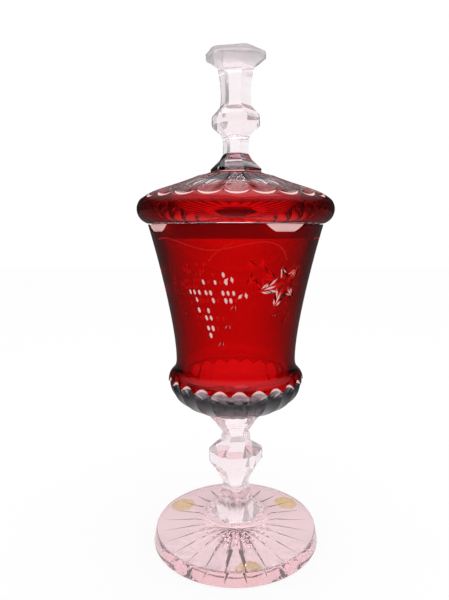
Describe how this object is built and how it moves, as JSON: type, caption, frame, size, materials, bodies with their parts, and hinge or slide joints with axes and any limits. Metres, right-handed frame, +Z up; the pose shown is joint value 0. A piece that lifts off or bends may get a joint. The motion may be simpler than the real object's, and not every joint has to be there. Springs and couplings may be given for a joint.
{
  "type": "lidded goblet",
  "caption": "Covered goblet in ruby overlay glass cut to clear, with a faceted stem, a star-cut foot and a domed cover with a faceted finial.",
  "frame": {"origin": "the foot's axis at the level of the surface the goblet stands on", "axes": "+Z up along the goblet's axis; -Y is the front, where the grapes are left of the middle and a leaf is right of it"},
  "size_m": [0.1408, 0.1408, 0.3617],
  "materials": {
    "crystal": "clear lead crystal, cut and polished",
    "ruby": "thin ruby overlay, polished",
    "pad": "soft clear rubber gone amber with age"
  },
  "bodies": {
    "goblet": {"foot_pad_1": "pad", "foot_pad_2": "pad", "foot_pad_3": "pad", "foot": "crystal", "stem": "crystal", "stem_collar": "crystal", "bowl_crystal": "crystal", "bowl_ruby": "ruby"},
    "cover": {"cover_crystal": "crystal", "cover_ruby": "ruby", "finial_collar": "crystal", "finial": "crystal"}
  },
  "joints": [
    {"name": "cover_lift", "type": "slide", "parent": "goblet", "child": "cover", "axis": [0, 0, 1], "range_m": [0, 0.15]}
  ]
}
